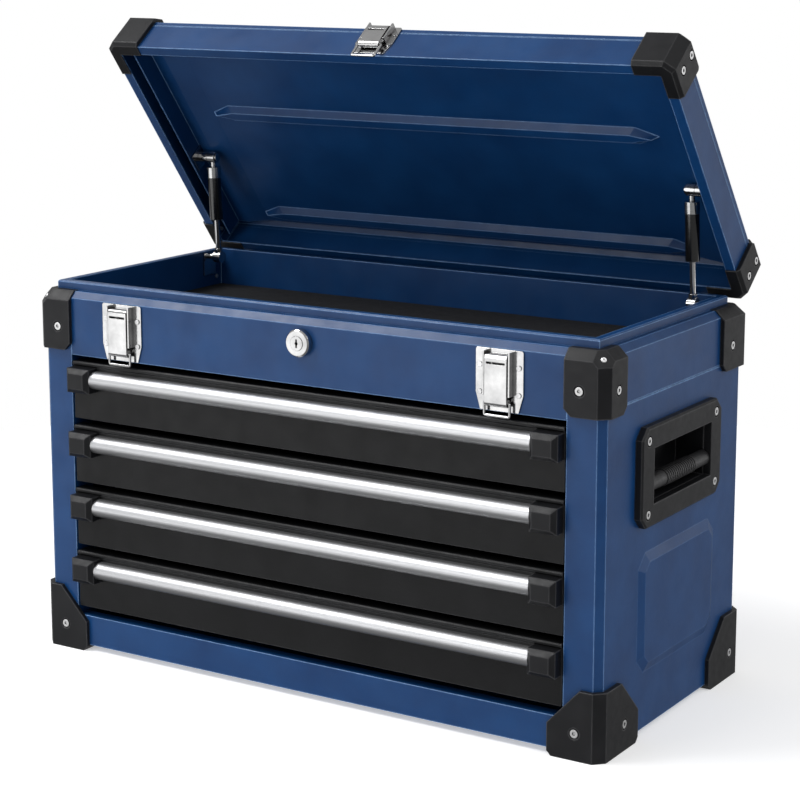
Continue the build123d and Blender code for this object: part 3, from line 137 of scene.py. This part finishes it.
# Edges, lighter for rubbed wear and painted highlight: how far the rounded surface turns from the
# flat, as a cosine, from the full edge colour to none, and the least edge colour that the noise
# leaves. Painted shade in gaps: reach, openness from full painted shade to none, samples.
EDGE_MARK_TURN = (0.92, 0.995)
LEAST_EDGE_MARK = 0.55
GAP_SHADE_REACH = 0.004
GAP_SHADE_OPENNESS = (0.15, 0.75)
GAP_SHADE_SAMPLES = 8

PAINT_COAT_ROUGHNESS = 0.15
FOAM_SHEEN = 0.03
FOAM_SHEEN_ROUGHNESS = 0.6
FOAM_SPECULAR = 0.1


class Shader:
    """A material with a Principled shader, and helpers that add nodes to it."""

    def __init__(self, name, rounding=PLAIN_ROUNDING):
        self.material = bpy.data.materials.new(name)
        self.material.use_nodes = True
        self.nodes = self.material.node_tree.nodes
        self.links = self.material.node_tree.links
        self.surface = self.nodes["Principled BSDF"]
        self.place = self.nodes.new("ShaderNodeTexCoord").outputs["Object"]
        self.rounded = self.nodes.new("ShaderNodeBevel")
        self.rounded.samples = ROUNDING_SAMPLES
        self.rounded.inputs["Radius"].default_value = rounding
        self.normal = self.rounded.outputs["Normal"]

    def link(self, output, socket):
        self.links.new(output, socket)

    def set(self, **values):
        """Set plain numbers on the shader's own sockets, named with underscores for spaces."""
        for key, value in values.items():
            self.surface.inputs[key.replace("_", " ")].default_value = value

    def stretched(self, scale):
        """Object coordinates scaled along each axis, for marks that run one way."""
        mapping = self.nodes.new("ShaderNodeMapping")
        mapping.inputs["Scale"].default_value = scale
        self.link(self.place, mapping.inputs["Vector"])
        return mapping.outputs["Vector"]

    def noise(self, scale, detail, vector=None):
        node = self.nodes.new("ShaderNodeTexNoise")
        node.inputs["Scale"].default_value = scale
        node.inputs["Detail"].default_value = detail
        self.link(vector or self.place, node.inputs["Vector"])
        return node.outputs["Fac"]

    def remap(self, value, low, high, span=NOISE_SPAN):
        """Spread the values inside a span between two limits."""
        node = self.nodes.new("ShaderNodeMapRange")
        node.inputs["From Min"].default_value, node.inputs["From Max"].default_value = span
        node.inputs["To Min"].default_value = low
        node.inputs["To Max"].default_value = high
        self.link(value, node.inputs["Value"])
        return node.outputs["Result"]

    def clouds(self, noise):
        """A noise that runs the whole way from 0 to 1."""
        return self.remap(self.noise(*noise), 0.0, 1.0)

    def mix(self, factor, first, second):
        """Blend two colours; each is a plain colour or another node's output."""
        node = self.nodes.new("ShaderNodeMix")
        node.data_type = "RGBA"
        for colour, socket in ((first, node.inputs["A"]), (second, node.inputs["B"])):
            if isinstance(colour, tuple):
                socket.default_value = colour
            else:
                self.link(colour, socket)
        self.link(factor, node.inputs["Factor"])
        return node.outputs["Result"]

    def colour(self, result):
        self.link(result, self.surface.inputs["Base Color"])

    def rough(self, factor, low, high):
        self.link(self.remap(factor, low, high), self.surface.inputs["Roughness"])

    def bump(self, height, depth, strength):
        """A bump, laid over the rounded edges and over earlier bumps."""
        node = self.nodes.new("ShaderNodeBump")
        node.inputs["Distance"].default_value = depth
        node.inputs["Strength"].default_value = strength
        self.link(height, node.inputs["Height"])
        self.link(self.normal, node.inputs["Normal"])
        self.normal = node.outputs["Normal"]
        self.link(self.normal, self.surface.inputs["Normal"])

    def grain(self, layers):
        for noise, depth, strength in layers:
            self.bump(self.noise(*noise), depth, strength)

    def edges(self):
        """How near a sharp edge a point is: 0 on the flat, 1 on the edge, broken up by fine noise; it
        marks rubbed wear and painted highlight.
        """
        geometry = self.nodes.new("ShaderNodeNewGeometry")
        turn = self.nodes.new("ShaderNodeVectorMath")
        turn.operation = "DOT_PRODUCT"
        self.link(self.rounded.outputs["Normal"], turn.inputs[0])
        self.link(geometry.outputs["Normal"], turn.inputs[1])
        edge_mark = self.nodes.new("ShaderNodeMath")
        edge_mark.operation = "MULTIPLY"
        self.link(self.remap(turn.outputs["Value"], 1.0, 0.0, EDGE_MARK_TURN), edge_mark.inputs[0])
        self.link(self.remap(self.noise(*EDGE_WEAR_AND_HIGHLIGHT_NOISE), LEAST_EDGE_MARK, 1.0), edge_mark.inputs[1])
        return edge_mark.outputs["Value"]

    def colour_with_worn_lit_edges(self, noise, main, second, edge):
        """A clouded colour that turns lighter along the edges, partly as rubbed wear and partly as
        painted highlight.
        """
        clouded = self.mix(self.clouds(noise), main, second)
        self.colour(self.mix(self.edges(), clouded, edge))

    def gap_shade_mask(self):
        """Mask for painted shade: 0 in a gap or close beside another piece, where the colour is
        painted dark, 1 in the open.
        """
        near = self.nodes.new("ShaderNodeAmbientOcclusion")
        near.samples = GAP_SHADE_SAMPLES
        near.inputs["Distance"].default_value = GAP_SHADE_REACH
        return self.remap(near.outputs["AO"], 0.0, 1.0, GAP_SHADE_OPENNESS)


def paint(name, colours, low, high, gloss, coat):
    """Sprayed powder coat: faint cloudiness, varying gloss, fine orange peel, and lighter edges that
    are partly rubbed wear and partly painted highlight.
    """
    shader = Shader(name, PAINT_ROUNDING)
    shader.colour_with_worn_lit_edges(PAINT_CLOUDS, *colours)
    shader.rough(shader.noise(*PAINT_GLOSS), low, high)
    shader.grain(PAINT_PEEL)
    shader.set(Coat_Weight=coat, Coat_Roughness=PAINT_COAT_ROUGHNESS, Specular_IOR_Level=gloss)
    return shader.material


def plastic(name, colours, low, high, gloss):
    """Moulded plastic with a fine eroded grain, and lighter edges that are partly rubbed wear and
    partly painted highlight.
    """
    shader = Shader(name, PLASTIC_ROUNDING)
    shader.colour_with_worn_lit_edges(PLASTIC_CLOUDS, *colours)
    shader.rough(shader.noise(*PLASTIC_GLOSS), low, high)
    shader.grain(PLASTIC_GRAIN)
    shader.set(Specular_IOR_Level=gloss)
    return shader.material


def rubber(name, low, high):
    """Ribbed rubber, slightly dusty."""
    shader = Shader(name)
    shader.colour(shader.mix(shader.noise(*RUBBER_CLOUDS), RUBBER, RUBBER_LIGHT))
    shader.rough(shader.noise(*RUBBER_GLOSS), low, high)
    shader.grain(RUBBER_GRAIN)
    return shader.material


def foam(name, low, high):
    """Closed-cell mat: a pebbled skin with small pits."""
    shader = Shader(name)
    cells = shader.nodes.new("ShaderNodeTexVoronoi")
    cells.inputs["Scale"].default_value = FOAM_CELLS
    shader.link(shader.place, cells.inputs["Vector"])
    shader.colour(shader.mix(shader.clouds(FOAM_CLOUDS), FOAM, FOAM_LIGHT))
    shader.rough(shader.noise(*FOAM_GLOSS), low, high)
    shader.bump(cells.outputs["Distance"], *FOAM_CELL_BUMP)
    shader.grain(FOAM_GRAIN)
    shader.set(Sheen_Weight=FOAM_SHEEN, Sheen_Roughness=FOAM_SHEEN_ROUGHNESS,
               Specular_IOR_Level=FOAM_SPECULAR)
    return shader.material


def brushed(name, main, second, low, high, scale):
    """Metal with fine marks along one axis."""
    shader = Shader(name)
    marks = shader.noise(*METAL_MARKS, shader.stretched(scale))
    shader.colour(shader.mix(shader.remap(marks, 0.0, 1.0), main, second))
    shader.rough(marks, low, high)
    shader.bump(marks, *BRUSH_BUMP)
    shader.set(Metallic=1.0)
    return shader.material


def plated(name, main, second, low, high):
    """Bright plated steel with faint handling marks, and painted shade that darkens it in its gaps.
    """
    shader = Shader(name)
    smudges = shader.noise(*METAL_SMUDGES)
    unshaded = shader.mix(shader.remap(smudges, 0.0, 1.0), main, second)
    # Painted shade: the colour darkens towards the gap colour where ambient occlusion finds gaps and
    # nearby pieces.
    shader.colour(shader.mix(shader.gap_shade_mask(), STEEL_GAP_SHADE, unshaded))
    shader.rough(smudges, low, high)
    shader.grain(PLATED_GRAIN)
    shader.set(Metallic=1.0)
    return shader.material


# Finishes: name, colours, least and greatest roughness, then each kind's own settings
# The third colour of each set is the lighter edge colour: rubbed wear and painted highlight.
BLUES = (BLUE, BLUE_DEEP, BLUE_WORN_LIT_EDGE)
CHARCOALS = (CHARCOAL, CHARCOAL_LIGHT, CHARCOAL_WORN_LIT_EDGE)
BLACKS = (GLOSS_BLACK, CHARCOAL, CHARCOAL_WORN_LIT_EDGE)
PLASTICS = (PLASTIC, PLASTIC_LIGHT, PLASTIC_WORN_LIT_EDGE)
MATERIALS = {
    "blue": paint("blue_powder_coat", BLUES, 0.3, 0.42, gloss=0.28, coat=0.03),
    "charcoal": paint("charcoal_powder_coat", CHARCOALS, 0.32, 0.44, gloss=0.2, coat=0.0),
    "gloss_black": paint("strut_gloss_black", BLACKS, 0.1, 0.2, gloss=0.5, coat=0.5),
    "plastic": plastic("black_moulded_plastic", PLASTICS, 0.34, 0.48, gloss=0.22),
    "rubber": rubber("ribbed_rubber", 0.4, 0.55),
    "foam": foam("foam_mat", 0.8, 0.95),
    "aluminium": brushed("satin_aluminium", ALUMINIUM, ALUMINIUM_DARK, 0.4, 0.5, BAR_BRUSHING),
    "zinc": brushed("zinc_plated_steel", ZINC, ZINC_DARK, 0.3, 0.45, SLIDE_BRUSHING),
    "chrome": plated("bright_plated_steel", STEEL, STEEL_DARK, 0.1, 0.22),
    "screw": plated("screw_steel", SCREW, STEEL, 0.36, 0.5),
}


def finish_of(node):
    """Which finish a node of the frame has."""
    if node.endswith("_bar"):
        return "aluminium"
    if node.endswith(("_caps", "_guards")) or node in ("handle_frames", "handle_cups"):
        return "plastic"
    if node.endswith("_tray"):
        return "charcoal"
    if node.endswith("_tube"):
        return "gloss_black"
    if node.endswith("slides"):
        return "zinc"
    if node == "handle_grips":
        return "rubber"
    if node == "foam_mat":
        return "foam"
    if "screws" in node or "rivets" in node or node == "hinge_pin":
        return "screw"
    if any(word in node for word in ("latch", "catch", "lock", "collar", "rod", "strut_brackets")):
        return "chrome"
    return "blue"


def dress(node, piece):
    """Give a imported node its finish."""
    piece.data.materials.clear()
    piece.data.materials.append(MATERIALS[finish_of(node)])


def lathe(name, section, sides):
    """A closed mesh turned from a half section about its own z axis."""
    points, rings, faces = [], [], []
    for radius, height in section:
        turns = [2 * math.pi * k / sides for k in range(sides if radius else 1)]
        rings.append(range(len(points), len(points) + len(turns)))
        points += [(radius * math.cos(a), radius * math.sin(a), height) for a in turns]
    for inner, outer in zip(rings, rings[1:]):
        for k in range(sides):
            loop = ((outer, k), (outer, k + 1), (inner, k + 1), (inner, k))
            corners = [ring[j % len(ring)] for ring, j in loop]
            faces.append(tuple(dict.fromkeys(corners)))
    mesh = bpy.data.meshes.new(name)
    mesh.from_pydata(points, [], faces)
    return bpy.data.objects.new(name, mesh)


def facet_screw(name, side):
    """A screw in the middle of a front top guard's facet; side is 1 on the right, -1 on the left."""
    outwards = Vector((side, -1, 1)).normalized()
    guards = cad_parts["front_top_guards"]
    points = [guards.matrix_world @ v.co for v in guards.data.vertices]
    reach = max(p.dot(outwards) for p in points)
    face = {tuple(p) for p in points if p.dot(outwards) > reach - FACET_TOLERANCE}
    screw = lathe(name, FACET_SCREW, FACET_SCREW_SIDES)
    screw.location = sum((Vector(p) for p in face), Vector()) / len(face)
    screw.rotation_euler = outwards.to_track_quat("Z", "Y").to_euler()
    screw.data.materials.append(MATERIALS["screw"])
    bpy.context.collection.objects.link(screw)
    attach(screw, "cabinet")


def area_light(name, place, target, size, power):
    """A soft box at a place, turned towards a target."""
    data = bpy.data.lights.new(name, "AREA")
    data.shape = "RECTANGLE"
    data.size, data.size_y = size
    data.energy = power
    lamp = bpy.data.objects.new(name, data)
    lamp.location = place
    lamp.rotation_euler = (Vector(target) - Vector(place)).to_track_quat("-Z", "Y").to_euler()
    bpy.context.collection.objects.link(lamp)


def make_floor():
    """A pale disc under the box, left out of reflections; beyond it the backdrop is as light."""
    shader = Shader("studio_floor")
    shader.set(Base_Color=FLOOR, Roughness=FLOOR_ROUGHNESS, Emission_Color=WHITE,
               Emission_Strength=FLOOR_GLOW)
    mesh = bpy.data.meshes.new("studio_floor")
    turns = [2 * math.pi * k / FLOOR_SIDES for k in range(FLOOR_SIDES)]
    rim = [(FLOOR_RADIUS * math.cos(a), FLOOR_RADIUS * math.sin(a), 0) for a in turns]
    mesh.from_pydata(rim, [], [tuple(range(FLOOR_SIDES))])
    floor = bpy.data.objects.new("studio_floor", mesh)
    floor.data.materials.append(shader.material)
    bpy.context.collection.objects.link(floor)
    floor.visible_glossy = False


def make_backdrop():
    """White behind the box, and a softly graded room for light and reflections."""
    world = bpy.data.worlds.new("studio")
    world.use_nodes = True
    nodes, links = world.node_tree.nodes, world.node_tree.links
    white = nodes["Background"]
    white.inputs["Color"].default_value = WHITE
    white.inputs["Strength"].default_value = 1.0
    room = nodes.new("ShaderNodeBackground")
    way = nodes.new("ShaderNodeTexCoord")
    split = nodes.new("ShaderNodeSeparateXYZ")
    half = nodes.new("ShaderNodeMapRange")
    half.inputs["From Min"].default_value = -1.0
    ramp = nodes.new("ShaderNodeValToRGB")
    stops = ramp.color_ramp.elements
    for k, (place, level) in enumerate(ROOM_LEVELS):
        stop = stops[k] if k < len(stops) else stops.new(place)
        stop.position = place
        stop.color = (level, level, level, 1)
    links.new(way.outputs["Generated"], split.inputs["Vector"])
    links.new(split.outputs["Z"], half.inputs["Value"])
    links.new(half.outputs["Result"], ramp.inputs["Fac"])
    links.new(ramp.outputs["Color"], room.inputs["Color"])
    rays = nodes.new("ShaderNodeLightPath")
    mix = nodes.new("ShaderNodeMixShader")
    links.new(rays.outputs["Is Camera Ray"], mix.inputs["Fac"])
    links.new(room.outputs["Background"], mix.inputs[1])
    links.new(white.outputs["Background"], mix.inputs[2])
    links.new(mix.outputs["Shader"], nodes["World Output"].inputs["Surface"])
    bpy.context.scene.world = world


def make_studio():
    make_floor()
    make_backdrop()
    for light in LIGHTS:
        area_light(*light)
    bpy.context.scene.view_settings.view_transform = "Standard"


def make_camera():
    front_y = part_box("front_top_panel")[0].y
    data = bpy.data.cameras.new("camera")
    data.lens = CAMERA_LENS
    data.shift_y = CAMERA_SHIFT_Y
    camera = bpy.data.objects.new("camera", data)
    camera.location = (CAMERA_X, front_y + CAMERA_Y, CAMERA_Z)
    camera.rotation_euler = Euler((math.radians(90 - CAMERA_PITCH), 0, math.radians(CAMERA_YAW)))
    bpy.context.collection.objects.link(camera)
    bpy.context.scene.camera = camera


for node_name, node_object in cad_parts.items():
    dress(node_name, node_object)
facet_screw("right_facet_screw", 1)
facet_screw("left_facet_screw", -1)
make_studio()
make_camera()
